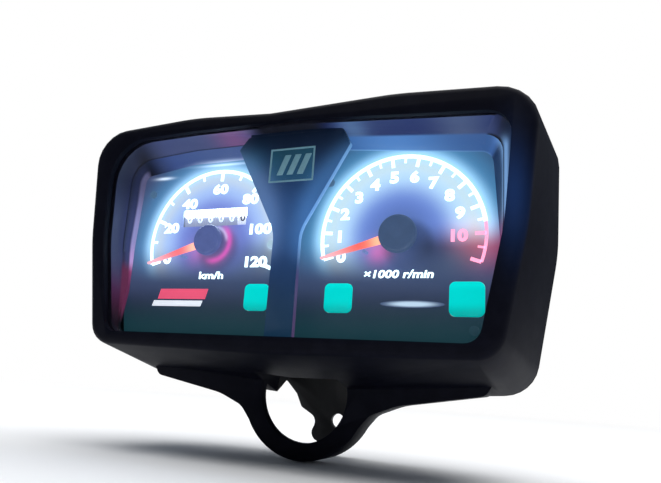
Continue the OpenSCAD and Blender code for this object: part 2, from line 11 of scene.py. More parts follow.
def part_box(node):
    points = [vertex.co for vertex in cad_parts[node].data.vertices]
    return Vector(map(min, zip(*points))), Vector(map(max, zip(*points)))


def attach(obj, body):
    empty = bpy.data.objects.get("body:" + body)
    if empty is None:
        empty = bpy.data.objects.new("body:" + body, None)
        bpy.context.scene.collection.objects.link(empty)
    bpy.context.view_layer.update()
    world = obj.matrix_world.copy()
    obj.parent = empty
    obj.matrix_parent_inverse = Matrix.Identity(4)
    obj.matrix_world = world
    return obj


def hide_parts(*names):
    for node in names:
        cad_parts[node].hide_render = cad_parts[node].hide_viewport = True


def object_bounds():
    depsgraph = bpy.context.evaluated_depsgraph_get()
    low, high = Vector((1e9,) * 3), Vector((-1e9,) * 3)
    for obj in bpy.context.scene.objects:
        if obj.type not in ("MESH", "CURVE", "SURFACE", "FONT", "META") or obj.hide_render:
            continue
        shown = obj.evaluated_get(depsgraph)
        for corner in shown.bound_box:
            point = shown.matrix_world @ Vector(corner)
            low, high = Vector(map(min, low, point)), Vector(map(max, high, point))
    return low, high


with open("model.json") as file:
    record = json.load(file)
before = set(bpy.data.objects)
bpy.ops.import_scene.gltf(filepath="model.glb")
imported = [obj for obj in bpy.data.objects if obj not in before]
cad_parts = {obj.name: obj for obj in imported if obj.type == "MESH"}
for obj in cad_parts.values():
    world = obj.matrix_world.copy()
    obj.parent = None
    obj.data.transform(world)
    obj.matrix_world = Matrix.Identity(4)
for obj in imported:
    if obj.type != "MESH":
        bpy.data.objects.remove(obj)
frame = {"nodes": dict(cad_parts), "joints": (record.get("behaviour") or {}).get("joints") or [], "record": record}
cad_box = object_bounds()

MM = 0.001
HOUSING = "housing"


# ---------- where things are ----------

def joint_at(name):
    """The point that a joint turns about."""
    return Vector(next(j["pos_m"] for j in frame["joints"] if j["name"] == name))


SPEEDO_HUB = joint_at("speedo_needle_turn")
TACH_HUB = joint_at("tach_needle_turn")
HUB_Z = SPEEDO_HUB.z
DIAL_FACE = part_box("speedo_dial")[0].y
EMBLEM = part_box("emblem_badge")
SOCKET_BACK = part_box("bulb_sockets")[1].y
SPIGOT_R = 6 * MM
LOWEST = cad_box[0].z

SCALE_R = 33 * MM           # outer scale line
SCALE_W = 1.6 * MM
RED_W = 1.2 * MM            # the line is thinner in the red zone
NUMBER_R = 24.6 * MM        # the figures' centres
PRINT_LIFT = 0.12 * MM      # printed figures stand just clear of the plate
PRINT_T = 0.06 * MM
LEDGE = 9 * MM              # the step in the window walls, in front of the dials
RIM_INNER = 88 * MM         # the rim's inner edge beside the right dial

# the angle of zero, the degrees between numbered marks, and how many marks follow the zero
SPEEDO = {"hub": SPEEDO_HUB, "zero": 197, "step": 36.5, "marks": 6}
TACH = {"hub": TACH_HUB, "zero": 195.5, "step": 19.5, "marks": 11}
RED_FROM = 9.6              # where the red zone starts, in thousands of turns a minute

SOFT_BAR = Vector((TACH_HUB.x + 5.6 * MM, 0, HUB_Z - 26.6 * MM))    # the bar of light under the right hub
SOFT_HALF = Vector((12.5 * MM, 0, 1.4 * MM))

LAMP_SIDE = LAMP_DROP = 24.5 * MM       # indicators, sideways from a hub and below it
TURN_LAMP_OUT = 1.6 * MM                # the right-hand one stands a little further out
SOCKETS = [(SPEEDO_HUB.x + LAMP_SIDE, HUB_Z - LAMP_DROP), (TACH_HUB.x - LAMP_SIDE, HUB_Z - LAMP_DROP),
           (TACH_HUB.x + LAMP_SIDE + TURN_LAMP_OUT, HUB_Z - LAMP_DROP),
           (-74 * MM, HUB_Z + 30 * MM), (74 * MM, HUB_Z + 30 * MM),
           (-17 * MM, HUB_Z + 29 * MM), (17 * MM, HUB_Z + 29 * MM)]    # three indicators, four backlights

DRUMS = 6
DIGITS = 10
ODOMETER_X = SPEEDO_HUB.x - 1 * MM
ODOMETER_W = 33.6 * MM      # the odometer's window
ODOMETER_H = 8 * MM
ODOMETER_RISE = (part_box("odometer_drum_1")[0].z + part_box("odometer_drum_1")[1].z) / 2 - HUB_Z


def on_dial(dial, value, radius):
    """Where a scale value lies, at a radius from the hub; values run clockwise."""
    angle = math.radians(dial["zero"] - dial["step"] * value)
    return Vector((dial["hub"].x + radius * math.cos(angle), 0, dial["hub"].z + radius * math.sin(angle)))


# ---------- camera, light and surroundings ----------

CAMERA_AT = Vector((0.1097, -0.2786, -0.0088))
CAMERA_YAW, CAMERA_PITCH, CAMERA_ROLL = 23.22, 13.27, 3.93
CAMERA_LENS = 33.44


def make_camera():
    """The photo's viewpoint: from the right and below, a little rolled."""
    data = bpy.data.cameras.new("camera")
    data.lens = CAMERA_LENS
    data.clip_start, data.clip_end = 0.01, 20
    camera = bpy.data.objects.new("camera", data)
    bpy.context.scene.collection.objects.link(camera)
    turn = Matrix.Rotation(math.radians(CAMERA_YAW), 4, "Z")
    tilt = Matrix.Rotation(math.radians(90 + CAMERA_PITCH), 4, "X")
    roll = Matrix.Rotation(math.radians(CAMERA_ROLL), 4, "Z")
    camera.matrix_world = Matrix.Translation(CAMERA_AT) @ turn @ tilt @ roll
    bpy.context.scene.camera = camera


def area_light(name, at, aim, size, power, colour=(1, 1, 1)):
    """A soft box at one point that faces another."""
    data = bpy.data.lights.new(name, "AREA")
    data.shape = "RECTANGLE"
    data.size, data.size_y = size
    data.energy, data.color = power, colour
    lamp = bpy.data.objects.new(name, data)
    bpy.context.scene.collection.objects.link(lamp)
    lamp.location = at
    lamp.rotation_euler = (Vector(aim) - Vector(at)).to_track_quat("-Z", "Y").to_euler()


def make_surroundings():
    """A pale floor under the part, a white sky for the camera and a dim one for everything else."""
    world = bpy.data.worlds.new("studio")
    bpy.context.scene.world = world
    world.use_nodes = True
    nodes, links = world.node_tree.nodes, world.node_tree.links
    nodes.clear()
    seen = nodes.new("ShaderNodeBackground")
    seen.inputs["Color"].default_value = (1, 1, 1, 1)
    felt = nodes.new("ShaderNodeBackground")
    felt.inputs["Color"].default_value = (0.7, 0.82, 1, 1)
    felt.inputs["Strength"].default_value = 0.10
    path = nodes.new("ShaderNodeLightPath")
    mix = nodes.new("ShaderNodeMixShader")
    out = nodes.new("ShaderNodeOutputWorld")
    links.new(path.outputs["Is Camera Ray"], mix.inputs["Fac"])
    links.new(felt.outputs[0], mix.inputs[1])
    links.new(seen.outputs[0], mix.inputs[2])
    links.new(mix.outputs[0], out.inputs["Surface"])

    bpy.ops.mesh.primitive_circle_add(
        vertices=96, radius=12, fill_type="NGON", location=(0, 0, LOWEST - 0.5 * MM))
    floor = bpy.context.object
    floor.name = "floor"
    floor.data.materials.append(paper_finish())

    middle = (cad_box[0] + cad_box[1]) / 2
    area_light("overhead", (0.1, 0.1, 1.3), middle, (1.8, 1.8), 30)
    area_light("left_side", (-1.1, 0.3, 0.5), middle, (0.6, 1.0), 4, (0.8, 0.88, 1))
    area_light("right_back", (1.2, 0.6, 0.6), middle, (0.8, 0.8), 2.5, (0.85, 0.9, 1))
    bpy.context.scene.view_settings.view_transform = "Standard"


# ---------- materials ----------

class Field:
    """A value that varies over a surface. Arithmetic on it adds math nodes to the material."""

    def __init__(self, tree, socket):
        self.tree, self.socket = tree, socket

    def _math(self, operation, *others, first=None):
        node = self.tree.nodes.new("ShaderNodeMath")
        node.operation = operation
        values = [self, *others] if first is None else [first, self]
        for slot, value in zip(node.inputs, values):
            if isinstance(value, Field):
                self.tree.links.new(value.socket, slot)
            else:
                slot.default_value = value
        return Field(self.tree, node.outputs[0])

    def __add__(self, other): return self._math("ADD", other)
    def __sub__(self, other): return self._math("SUBTRACT", other)
    def __mul__(self, other): return self._math("MULTIPLY", other)
    def __truediv__(self, other): return self._math("DIVIDE", other)
    def __radd__(self, other): return self._math("ADD", first=other)
    def __rsub__(self, other): return self._math("SUBTRACT", first=other)
    def __rmul__(self, other): return self._math("MULTIPLY", first=other)
    def power(self, other): return self._math("POWER", other)
    def clamp(self): return self._math("MINIMUM", 1)._math("MAXIMUM", 0)
    def size(self): return self._math("ABSOLUTE")

    def bell(self, centre, width):
        """1 at the centre, falling off on both sides like a bell curve."""
        off = (self - centre) / width
        return (off * off * -1)._math("EXPONENT")

    def rise(self, start, end):
        """0 at start and 1 at end, with a smooth step between."""
        t = ((self - start) / (end - start)).clamp()
        return t * t * (3 - 2 * t)


class Finish:
    """One Principled material and the nodes that drive it."""

    def __init__(self, name, colour, roughness=0.5, metallic=0.0):
        self.material = bpy.data.materials.new(name)
        self.material.use_nodes = True
        self.tree = self.material.node_tree
        self.shader = self.tree.nodes["Principled BSDF"]
        self.shader.inputs["Base Color"].default_value = (*colour, 1)
        self.shader.inputs["Roughness"].default_value = roughness
        self.shader.inputs["Metallic"].default_value = metallic
        self._at = None
        self._bump = None

    def at(self, axis):
        """Object coordinate along one axis, in metres."""
        if self._at is None:
            place = self.tree.nodes.new("ShaderNodeTexCoord")
            self._at = self.tree.nodes.new("ShaderNodeSeparateXYZ")
            self.tree.links.new(place.outputs["Object"], self._at.inputs[0])
        return Field(self.tree, self._at.outputs[axis])

    def noise(self, size, detail=4, rough=0.55, stretch=(1, 1, 1)):
        """Soft noise from 0 to 1 whose blotches measure about size metres."""
        place = self.tree.nodes.new("ShaderNodeTexCoord")
        scale = self.tree.nodes.new("ShaderNodeMapping")
        scale.inputs["Scale"].default_value = [s / size for s in stretch]
        node = self.tree.nodes.new("ShaderNodeTexNoise")
        node.inputs["Scale"].default_value = 1
        node.inputs["Detail"].default_value = detail
        node.inputs["Roughness"].default_value = rough
        self.tree.links.new(place.outputs["Object"], scale.inputs["Vector"])
        self.tree.links.new(scale.outputs[0], node.inputs["Vector"])
        return Field(self.tree, node.outputs[0])

    def facing(self, axis):
        """How far the surface faces along one axis, from -1 to 1."""
        place = self.tree.nodes.new("ShaderNodeNewGeometry")
        split = self.tree.nodes.new("ShaderNodeSeparateXYZ")
        self.tree.links.new(place.outputs["Normal"], split.inputs[0])
        return Field(self.tree, split.outputs[axis])

    def edges(self, low=0.5, high=0.62):
        """0 on flat surfaces, rising to 1 along convex edges."""
        place = self.tree.nodes.new("ShaderNodeNewGeometry")
        return Field(self.tree, place.outputs["Pointiness"]).rise(low, high)

    def tint(self, amount, colour):
        """Mixes another colour into the base colour by an amount."""
        self._mix_into("Base Color", amount, colour)

    def glow(self, amount, colour):
        """Adds light of a colour, times an amount."""
        node = self.tree.nodes.new("ShaderNodeVectorMath")
        node.operation = "SCALE"
        node.inputs[0].default_value = colour
        self.tree.links.new(amount.socket, node.inputs["Scale"])
        socket = self.shader.inputs["Emission Color"]
        if socket.is_linked:
            total = self.tree.nodes.new("ShaderNodeVectorMath")
            total.operation = "ADD"
            self.tree.links.new(socket.links[0].from_socket, total.inputs[0])
            self.tree.links.new(node.outputs[0], total.inputs[1])
            node = total
        self.tree.links.new(node.outputs[0], socket)
        self.shader.inputs["Emission Strength"].default_value = 1

    def _mix_into(self, name, amount, colour):
        socket = self.shader.inputs[name]
        mix = self.tree.nodes.new("ShaderNodeMix")
        mix.data_type = "RGBA"
        mix.clamp_factor = True
        if socket.is_linked:
            self.tree.links.new(socket.links[0].from_socket, mix.inputs["A"])
        else:
            mix.inputs["A"].default_value = socket.default_value
        mix.inputs["B"].default_value = (*colour, 1)
        self.tree.links.new(amount.socket, mix.inputs["Factor"])
        self.tree.links.new(mix.outputs["Result"], socket)

    def set(self, name, value):
        """Drives a socket with a field, or sets it to a constant."""
        if isinstance(value, Field):
            self.tree.links.new(value.socket, self.shader.inputs[name])
        else:
            self.shader.inputs[name].default_value = value

    def bump(self, height, depth, strength=1.0):
        """Raises the surface by a field from 0 to 1, depth metres at most."""
        node = self.tree.nodes.new("ShaderNodeBump")
        node.inputs["Distance"].default_value = depth
        node.inputs["Strength"].default_value = strength
        self.tree.links.new(height.socket, node.inputs["Height"])
        if self._bump is not None:
            self.tree.links.new(self._bump.outputs[0], node.inputs["Normal"])
        self._bump = node
        self.tree.links.new(node.outputs[0], self.shader.inputs["Normal"])


def paper_finish():
    """Pale paper that brightens into the white sky away from the part."""
    f = Finish("paper", (0.9, 0.9, 0.9), 0.9)
    x, y = f.at("X"), f.at("Y")
    away = (x * x + y * y).power(0.5).rise(0.25, 1.1)
    seen = Field(f.tree, f.tree.nodes.new("ShaderNodeLightPath").outputs["Is Camera Ray"])
    f.tint(away, (0, 0, 0))
    f.glow(away * seen, (1, 1, 1))
    f.set("Specular IOR Level", 0.0)
    return f.material


def moulded(name, colour, roughness, grain, depth, shine=0.4, ior=1.5):
    """Injection-moulded plastic: spark-eroded grain, uneven gloss, dust on top and rubbed edges."""
    f = Finish(name, colour, roughness)
    pits = f.noise(grain, detail=3, rough=0.6)
    blotch = f.noise(22 * MM, detail=5)
    f.tint((f.noise(6 * MM) - 0.45) * 1.6, [c * 1.7 + 0.002 for c in colour])
    f.tint(f.edges() * 0.35, [c * 2.4 + 0.012 for c in colour])
    f.tint((f.facing("Z").rise(0.6, 1.0) * (blotch - 0.35) * 0.5).clamp(), [c * 3 + 0.012 for c in colour])
    f.set("Roughness", roughness - 0.10 + 0.2 * blotch + 0.06 * pits)
    f.set("Specular IOR Level", shine)
    f.set("IOR", ior)
    f.bump(pits, depth, 0.6)
    return f


def metal(name, colour, roughness, streak=(1, 1, 1), grime=(0.10, 0.09, 0.08)):
    """Plain or plated metal: fine lay of the finish, cloudy gloss and a little grime."""
    f = Finish(name, colour, roughness, 1.0)
    lay = f.noise(0.35 * MM, detail=3, rough=0.7, stretch=streak)
    cloud = f.noise(5 * MM, detail=5, rough=0.6)
    f.tint((cloud - 0.48) * 2.2, [c * 0.72 for c in colour])
    f.tint((f.noise(2.5 * MM, detail=6) - 0.56) * 2.0, grime)
    f.set("Roughness", roughness - 0.08 + 0.16 * cloud + 0.10 * lay)
    f.bump(lay, 0.02 * MM, 0.5)
    return f


def rubber_finish():
    """Matt black rubber with a little bloom."""
    f = Finish("rubber", (0.016, 0.016, 0.017), 0.75)
    f.tint((f.noise(3 * MM, detail=5) - 0.5) * 1.6, (0.04, 0.04, 0.042))
    f.set("Roughness", 0.66 + 0.2 * f.noise(4 * MM))
    f.set("Specular IOR Level", 0.3)
    f.bump(f.noise(0.25 * MM, detail=2), 0.03 * MM, 0.5)
    return f


def lit_print(name, colour, light, strength):
    """Ink that lets the backlight through, a little uneven."""
    f = Finish(name, colour, 0.5)
    cloud = f.noise(3 * MM, detail=3)
    f.tint((cloud - 0.5) * 0.6, [c * 0.8 for c in colour])
    f.glow(strength * (0.88 + 0.24 * cloud), light)
    return f


def radius_from(f, hub, x=0.0, z=0.0):
    """Distance over the dial from a hub's axis, or from a point x, z millimetres off it."""
    dx, dz = f.at("X") - (hub.x + x * MM), f.at("Z") - (hub.z + z * MM)
    return (dx * dx + dz * dz).power(0.5)


def dial_face(name, hub, violet, dim, dim_from):
    """Dark printed plate that the backlight floods: white-blue round the scale, periwinkle inside it,
    slate below the hub and teal at the foot. The flood is dim at the lower right, and in the hub's shadow."""
    f = Finish(name, (0.020, 0.024, 0.040), 0.55)
    r = radius_from(f, hub)
    z = f.at("Z") - hub.z
    dark_side = (f.at("X") - hub.x).rise(dim_from, dim_from + 15 * MM) * (1 - z.rise(-6 * MM, 6 * MM))
    shadow = 1 - radius_from(f, hub, 3, -3.5).rise(7.5 * MM, 12 * MM)
    lit = z.rise(-19 * MM, 1 * MM) * (1 - dim * dark_side) * (1 - 0.45 * shadow)
    inside = 1 - r.rise(33 * MM, 40 * MM)
    f.glow(1 - z.rise(-38 * MM, -22 * MM), (0.006, 0.034, 0.042))
    f.glow(z.bell(-16 * MM, 11 * MM), (0.042, 0.066, 0.14))
    flood = [c + violet * v for c, v in zip((0.09, 0.15, 0.34), (0.04, 0, 0.02))]
    f.glow(lit * (0.35 + 0.65 * inside), flood)
    f.glow(lit * r.bell(19 * MM, 12 * MM), (0.05, 0.09, 0.34))
    number_light = [c - violet * v for c, v in zip((0.36, 0.50, 0.36), (0.14, 0.18, 0.08))]
    f.glow(lit * r.bell(NUMBER_R, 6 * MM), number_light)
    f.glow(lit * r.bell(29.5 * MM, 3.5 * MM), (0.26, 0.22, 0.03))
    f.glow(lit * r.bell(SCALE_R + 0.8 * MM, 3.2 * MM), (0.26, 0.46, 0.46))
    f.glow(lit * r.bell(SCALE_R + 4 * MM, 9 * MM), (0.03, 0.17, 0.30))
    f.set("Roughness", 0.5 + 0.15 * f.noise(8 * MM))
    f.bump(f.noise(0.3 * MM, detail=2), 0.01 * MM, 0.4)
    return f


def speedo_face():
    """Left dial, with painted light: a magenta ring beside the hub, a red glow near the needle's root, a pale arc
    at the cap's upper right, glints along its top edge and at its top-left corner, and a glint by the right screw.
    """
    f = dial_face("speedo_print", SPEEDO_HUB, violet=1.0, dim=0.5, dim_from=6 * MM)
    r = radius_from(f, SPEEDO_HUB)
    x, z = f.at("X") - SPEEDO_HUB.x, f.at("Z") - HUB_Z
    right = ((x - 0.45 * z) / r).rise(-0.2, 0.7)
    f.glow(right * r.bell(8.4 * MM, 1.3 * MM), (0.52, 0.01, 0.20))
    f.glow(right * r.bell(8.8 * MM, 3.2 * MM), (0.11, 0.0, 0.03))
    f.glow(((x + z) / r).rise(0.9, 1.35) * r.bell(6.9 * MM, 0.9 * MM), (0.34, 0.34, 0.45))
    f.glow(radius_from(f, SPEEDO_HUB, -8, -5).bell(0, 5 * MM), (0.22, 0.0, 0.05))
    f.glow(z.bell(36.3 * MM, 0.6 * MM) * x.bell(1 * MM, 12 * MM), (0.55, 0.65, 0.75))
    f.glow(z.bell(31.8 * MM, 0.7 * MM) * x.bell(-31 * MM, 4.5 * MM), (0.8, 0.9, 1.0))
    f.glow(radius_from(f, SPEEDO_HUB, 29.5, -2).bell(0, 1.8 * MM), (0.3, 0.5, 0.6))
    return f


def tach_face():
    """Right dial: painted red light from the red zone spreads over its side, and a painted red glow from the
    needle's root lies on the plate under it.
    """
    f = dial_face("tach_print", TACH_HUB, violet=0.0, dim=0.85, dim_from=-2 * MM)
    f.glow(radius_from(f, TACH_HUB, 33, -4).bell(0, 8 * MM), (0.34, 0.0, 0.03))
    f.glow(radius_from(f, TACH_HUB, 24, 0).bell(0, 6 * MM), (0.20, 0.0, 0.03))
    f.glow(radius_from(f, TACH_HUB, -9, -6).bell(0, 4.5 * MM), (0.45, 0.0, 0.04))
    return f


def needle_finish(name, dial, glow_colour):
    """Fluorescent red moulding whose glow is painted light, brightest next to the hub that lights it, with painted
    blue-white light towards its tip and a black tail.
    """
    f = Finish(name, (0.9, 0.10, 0.06), 0.4)
    hub, zero = dial["hub"], math.radians(dial["zero"])
    r = radius_from(f, hub)
    ahead = (math.cos(zero) * (f.at("X") - hub.x) + math.sin(zero) * (f.at("Z") - hub.z)).rise(0, 2 * MM)
    f.tint(1 - ahead, (0.01, 0.01, 0.015))
    # painted glow of the hub's light along the needle
    f.glow(ahead * (0.80 + 0.35 * r.bell(8 * MM, 8 * MM)), glow_colour)
    f.glow(ahead * r.bell(8 * MM, 4 * MM), (0.3, 0.42, 0.20))
    f.glow(r.rise(15 * MM, 32 * MM), (0.2, 0.42, 0.50))
    f.bump(f.noise(0.4 * MM), 0.01 * MM, 0.3)
    return f


def cap_finish():
    """Smoked hub caps, painted slate blue by the light round them; the left one gets more painted light and is
    paler.
    """
    f = Finish("cap_black", (0.02, 0.024, 0.05), 0.4)
    cloud = f.noise(5 * MM)
    on_left = 1 - f.at("X").rise(-1 * MM, 1 * MM)
    f.glow(0.75 + 0.5 * cloud, (0.045, 0.082, 0.160))
    f.glow(on_left * (0.75 + 0.5 * cloud), (0.036, 0.030, 0.135))
    f.set("Roughness", 0.34 + 0.15 * f.noise(2 * MM))
    f.bump(f.noise(0.3 * MM, detail=2), 0.01 * MM, 0.4)
    return f


def lamp_lens_finish():
    """Tinted indicator window, lit from behind and fading towards its foot."""
    f = Finish("lamp_lens", (0.0, 0.3, 0.27), 0.25)
    up = f.at("Z") - (HUB_Z - LAMP_DROP)
    top, foot = up.rise(3 * MM, 5.5 * MM), 1 - up.rise(-6.5 * MM, -1 * MM)
    f.glow(0.92 + 0.06 * f.noise(4 * MM) + 0.14 * top - 0.4 * foot, (0.0, 0.66, 0.60))
    f.set("Specular IOR Level", 0.15)
    f.bump(f.noise(0.8 * MM, detail=2), 0.02 * MM, 0.3)
    return f


def cover_finish():
    """Black front cover. The right dial's light spills over the rim beside it."""
    f = moulded("black_plastic", (0.0035, 0.004, 0.009), 0.5, 0.45 * MM, 0.035 * MM, 0.25, 1.2)
    front = (-1 * f.facing("Y")).rise(0.2, 0.7)
    beside = (f.at("X") - RIM_INNER).bell(0, 5 * MM) * (f.at("Z") - HUB_Z).bell(8 * MM, 17 * MM)
    f.glow(front * beside, (0.006, 0.022, 0.085))
    return f


def mask_finish():
    """Smooth dark walls round the dials. The backlight floods the stretch behind the ledge and
    dimly reaches the one in front of it."""
    f = Finish("mask_plastic", (0.020, 0.020, 0.032), 0.45)
    x, z = f.at("X"), f.at("Z") - HUB_Z
    depth = f.at("Y") - DIAL_FACE
    behind = depth.rise(-LEDGE, -LEDGE + 0.4 * MM)
    front = 1 - behind
    ceiling = (-1 * f.facing("Z")).rise(0.3, 0.7)
    left, right = f.facing("X").rise(0.3, 0.7), (-1 * f.facing("X")).rise(0.3, 0.7)
    tach_side = ceiling * x.rise(8 * MM, 22 * MM)
    speedo_side = ceiling * x.rise(-82 * MM, -64 * MM) * (1 - x.rise(-24 * MM, -14 * MM))
    f.glow(tach_side * front, (0.009, 0.022, 0.11))
    f.glow(tach_side * front * x.bell(25 * MM, 6 * MM), (0.06, 0.11, 0.17))
    f.glow(tach_side * front * x.bell(68 * MM, 9 * MM), (0.045, 0.06, 0.07))
    f.glow(tach_side * behind, (0.03, 0.09, 0.26))
    f.glow(tach_side * behind * x.bell(TACH_HUB.x - 2 * MM, 20 * MM), (0.04, 0.12, 0.26))
    f.glow(ceiling * depth.rise(-1.2 * MM, -0.2 * MM) * x.bell(TACH_HUB.x, 30 * MM), (0.15, 0.28, 0.36))
    f.glow(speedo_side * front, (0.045, 0.062, 0.16))
    f.glow(speedo_side * front * x.bell(-30 * MM, 9 * MM), (0.11, 0.005, 0.03))
    f.glow(speedo_side * behind, (0.035, 0.065, 0.21))
    f.glow(speedo_side * depth.bell(0, 1.5 * MM) * x.bell(-42 * MM, 13 * MM), (0.45, 0.55, 0.7))
    high = z.rise(-14 * MM, -8 * MM)
    low = 1 - high
    upper = 0.35 + 0.65 * (1 - z.rise(6 * MM, 30 * MM))
    f.glow(left * front * upper * z.rise(-34 * MM, -8 * MM), (0.022, 0.032, 0.090))
    f.glow(left * depth.bell(-5.5 * MM, 3 * MM) * high * upper, (0.030, 0.036, 0.12))
    f.glow(left * depth.rise(-4.5 * MM, -2.5 * MM) * high * upper, (0.27, 0.26, 0.50))
    f.glow(left * depth.rise(-4.5 * MM, -2.5 * MM) * z.bell(-9 * MM, 7 * MM), (0.22, 0.04, 0.12))
    f.glow(left * behind * low * z.rise(-38 * MM, -30 * MM), (0.11, 0.016, 0.055))
    f.glow(left * front * z.bell(-24 * MM, 9 * MM), (0.045, 0.0, 0.016))
    f.glow(right * z.rise(-8 * MM, 6 * MM), (0.008, 0.022, 0.070))
    beside_ledge = depth.bell(-LEDGE - 0.8 * MM, 2.6 * MM)
    f.glow(right * beside_ledge * z.rise(0, 8 * MM) * (1 - z.rise(30 * MM, 36 * MM)), (0.17, 0.32, 0.56))
    f.glow(right * z.bell(-3 * MM, 6 * MM), (0.13, 0.003, 0.05))
    f.glow(f.facing("Z").rise(0.5, 0.9) * behind, (0.006, 0.012, 0.018))
    f.set("Roughness", 0.40 + 0.14 * f.noise(9 * MM))
    f.set("Specular IOR Level", 0.3)
    f.bump(f.noise(0.35 * MM, detail=2), 0.008 * MM, 0.4)
    return f


def panel_finish():
    """Dark finisher between the dials, in painted light: blue from the dials, a teal glow behind the badge
    and a bright side towards the right dial."""
    f = Finish("panel_plastic", (0.010, 0.013, 0.024), 0.38)
    x, z = f.at("X"), f.at("Z") - HUB_Z
    cloud = f.noise(14 * MM, detail=3)
    f.glow((0.7 + 0.6 * cloud) * z.bell(2 * MM, 24 * MM), (0.018, 0.060, 0.180))
    f.glow(1 - z.rise(-40 * MM, -10 * MM), (0.003, 0.022, 0.048))
    middle = (EMBLEM[0] + EMBLEM[1]) / 2
    half = (EMBLEM[1] - EMBLEM[0]) / 2
    # painted teal glow inside the badge's outline
    badge_glow = ((x - middle.x).size().rise(half.x, half.x - 0.3 * MM)
             * (z - (middle.z - HUB_Z)).size().rise(half.z, half.z - 0.3 * MM))
    f.glow(badge_glow * (0.8 + 0.4 * cloud), (0.005, 0.034, 0.042))
    low_end = z.rise(-18 * MM, -4 * MM)
    f.glow(radius_from(f, SPEEDO_HUB).bell(34 * MM, 6.5 * MM) * low_end, (0.075, 0.125, 0.23))
    f.glow(radius_from(f, TACH_HUB).bell(35 * MM, 6 * MM) * low_end, (0.03, 0.09, 0.20))
    f.glow(x.bell(-21 * MM, 9 * MM) * z.bell(29 * MM, 7 * MM), (0.0, 0.035, 0.06))
    side = f.facing("X").rise(0.5, 0.8) * (1 - z.rise(35 * MM, 37 * MM))
    f.glow(side * z.rise(-20 * MM, 4 * MM), (0.085, 0.19, 0.36))
    f.glow(side * (1 - z.rise(-22 * MM, -10 * MM)), (0.07, 0.02, 0.06))
    f.glow((-1 * f.facing("X")).rise(0.5, 0.8) * z.rise(-20 * MM, 4 * MM), (0.06, 0.12, 0.26))
    f.set("Roughness", 0.34 + 0.12 * f.noise(6 * MM))
    f.set("Specular IOR Level", 0.3)
    f.bump(f.noise(0.3 * MM, detail=2), 0.008 * MM, 0.4)
    return f


def badge_finish():
    """Pale pad-printed lines, picked out by the light of the dials."""
    f = metal("badge_ink", (0.20, 0.30, 0.33), 0.45)
    f.glow(0.8 + 0.4 * f.noise(3 * MM), (0.085, 0.17, 0.21))
    return f


def lens_finish():
    """Clear moulded window: see-through, with a shine that grows towards grazing views."""
    material = bpy.data.materials.new("clear_lens")
    material.use_nodes = True
    tree = material.node_tree
    shine = tree.nodes["Principled BSDF"]
    shine.inputs["Base Color"].default_value = (0.02, 0.02, 0.025, 1)
    shine.inputs["Roughness"].default_value = 0.06
    clear = tree.nodes.new("ShaderNodeBsdfTransparent")
    clear.inputs["Color"].default_value = (0.97, 0.985, 1, 1)
    fresnel = Field(tree, tree.nodes.new("ShaderNodeFresnel").outputs[0])
    fresnel.socket.node.inputs["IOR"].default_value = 1.3
    inner_side = Field(tree, tree.nodes.new("ShaderNodeNewGeometry").outputs["Backfacing"])
    mix = tree.nodes.new("ShaderNodeMixShader")
    tree.links.new((fresnel * (1 - inner_side)).socket, mix.inputs["Fac"])
    tree.links.new(clear.outputs[0], mix.inputs[1])
    tree.links.new(shine.outputs[0], mix.inputs[2])
    tree.links.new(mix.outputs[0], tree.nodes["Material Output"].inputs["Surface"])
    return material


def drum_finish(name, colour, light):
    """Counter drum lit from above, brighter towards its top."""
    f = moulded(name, colour, 0.4, 0.3 * MM, 0.01 * MM)
    up = (f.at("Z") - (HUB_Z + ODOMETER_RISE)).rise(-5 * MM, 4 * MM)
    f.glow(0.8 + 0.75 * up, light)
    return f


def small_metal_finish():
    """Dial screws and stop pins, washed with the dials' light; the left dial's right screw shines."""
    f = metal("small_metal", (0.08, 0.10, 0.14), 0.5)
    x, z = f.at("X") - SPEEDO_HUB.x, f.at("Z") - HUB_Z
    f.glow(0.8 + 0.4 * f.noise(2 * MM), (0.010, 0.035, 0.045))
    f.glow(z.rise(-30 * MM, -6 * MM), (0.06, 0.11, 0.20))
    f.glow(z.bell(-7 * MM, 3 * MM), (0.09, 0.08, 0.24))
    f.glow(x.rise(20 * MM, 26 * MM) * (1 - x.rise(34 * MM, 38 * MM)), (0.35, 0.45, 0.45))
    return f


def bulb_finish():
    """Lit glass, warm and half clear."""
    f = Finish("bulb_glass", (1.0, 0.95, 0.82), 0.08)
    f.set("Alpha", 0.45)
    f.glow(0.8 + 0.4 * f.noise(3 * MM), (1.0, 0.85, 0.6))
    return f


